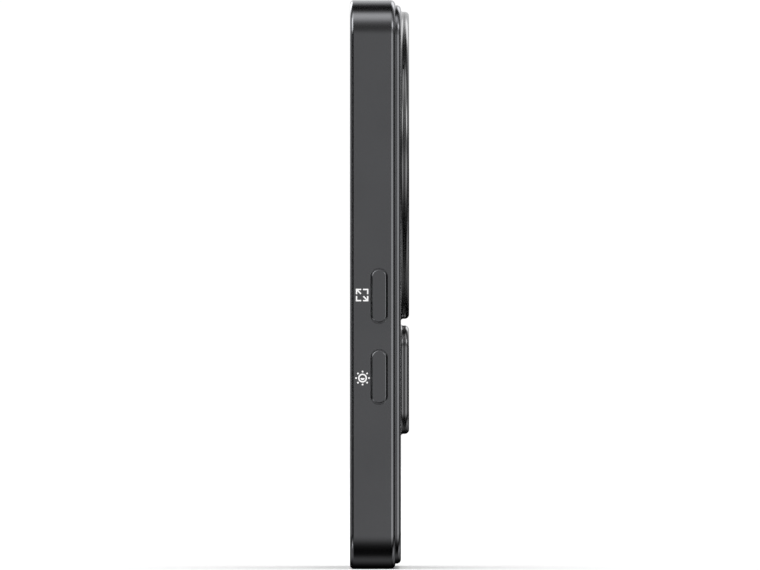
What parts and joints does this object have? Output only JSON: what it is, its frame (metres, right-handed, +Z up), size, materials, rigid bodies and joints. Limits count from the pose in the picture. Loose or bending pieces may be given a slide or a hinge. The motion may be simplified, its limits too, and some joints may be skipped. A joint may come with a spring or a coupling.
{
  "type": "magnetic phone monitor",
  "caption": "Slim rectangular clip-on screen with a raised magnet ring and alignment bar on its back and sprung press keys on its long edges.",
  "frame": {"origin": "middle of the bottom end, on the surface that the monitor stands on", "axes": "+Z up along the long side, screen facing -Y, magnet ring facing +Y, the two marked keys on the +X edge"},
  "size_m": [0.0606, 0.0108, 0.1032],
  "materials": {
    "battery_pouch": "laminated aluminium pouch",
    "black_plastic": "black moulded nylon",
    "black_sleeve": "black silicone wire sleeve",
    "bonding_tape": "black foam tape",
    "casing_shell": "dark grey metallic satin lacquer over moulded plastic",
    "cell_glass": "thin display glass",
    "ceramic_part": "tan ceramic with tinned ends",
    "chip_plastic": "black moulded chip package",
    "circuit_board": "green solder mask over glass-fibre board",
    "clear_adhesive": "clear optical adhesive",
    "clear_film": "milky diffusing film",
    "clear_plastic": "clear moulded acrylic",
    "connector_plastic": "cream moulded nylon",
    "dome_steel": "sprung stainless steel",
    "ferrite": "dark grey ferrite",
    "flex_film": "amber polyimide film with copper tracks",
    "gloss_black": "polished black plastic",
    "lamp_plastic": "lamp package with a yellow phosphor",
    "magnet_plating": "nickel-plated magnet",
    "polariser_film": "grey polarising film",
    "rear_shell": "dark grey metallic satin lacquer over moulded plastic",
    "red_sleeve": "red silicone wire sleeve",
    "screen_glass": "polished clear glass with a black printed border on its back",
    "screw_steel": "blackened steel",
    "socket_steel": "nickel-plated steel shell",
    "soft_foam": "soft black foam",
    "soft_pad": "smooth black silicone pad",
    "thin_steel": "stamped steel sheet",
    "tinned_steel": "tin-plated steel",
    "white_plastic": "white moulded plastic"
  },
  "bodies": {
    "casing": {"antenna_chip": "ceramic_part", "backlight_films": "clear_film", "backlight_frame": "white_plastic", "backlight_lamps": "lamp_plastic", "backlight_tray": "thin_steel", "bar_holder": "gloss_black", "bar_magnet": "magnet_plating", "bar_pad": "soft_pad", "bar_yoke": "thin_steel", "battery_cell": "battery_pouch", "battery_circuit": "circuit_board", "battery_header": "connector_plastic", "battery_lead_black": "black_sleeve", "battery_lead_red": "red_sleeve", "battery_plug": "connector_plastic", "battery_tape": "bonding_tape", "board_screws": "screw_steel", "capacitors": "ceramic_part", "charge_light": "lamp_plastic", "chassis_plate": "thin_steel", "chassis_screws": "screw_steel", "coils": "ferrite", "cover_glass": "screen_glass", "display_cell": "cell_glass", "display_driver": "chip_plastic", "display_flex": "flex_film", "flex_connectors": "connector_plastic", "glass_tape": "bonding_tape", "key_boards": "circuit_board", "key_brackets": "thin_steel", "key_switches": "black_plastic", "left_key_flex": "flex_film", "light_guide": "clear_plastic", "light_pipe": "clear_plastic", "main_board": "circuit_board", "main_frame": "casing_shell", "memory_chip": "chip_plastic", "optical_adhesive": "clear_adhesive", "panel_foam": "soft_foam", "polarisers": "polariser_film", "power_chip": "chip_plastic", "processor": "chip_plastic", "rear_cover": "rear_shell", "reflector_sheet": "white_plastic", "right_key_flex": "flex_film", "ring_holder": "gloss_black", "ring_magnets": "magnet_plating", "ring_pad": "soft_pad", "ring_yoke": "thin_steel", "shield_can": "tinned_steel", "socket_shell": "socket_steel", "socket_tongue": "black_plastic", "switch_domes": "dome_steel", "wireless_chip": "tinned_steel"},
    "zoom_key": {"zoom_key": "casing_shell", "zoom_plunger": "white_plastic"},
    "brightness_key": {"brightness_key": "casing_shell", "brightness_plunger": "white_plastic"},
    "power_key": {"power_key": "casing_shell", "power_plunger": "white_plastic"}
  },
  "joints": [
    {"name": "zoom_key_press", "type": "slide", "parent": "casing", "child": "zoom_key", "axis": [-1, 0, 0], "range_m": [0, 0.00025], "stiffness_N_per_m": 200},
    {"name": "brightness_key_press", "type": "slide", "parent": "casing", "child": "brightness_key", "axis": [-1, 0, 0], "range_m": [0, 0.00025], "stiffness_N_per_m": 200},
    {"name": "power_key_press", "type": "slide", "parent": "casing", "child": "power_key", "axis": [1, 0, 0], "range_m": [0, 0.00025], "stiffness_N_per_m": 200}
  ]
}
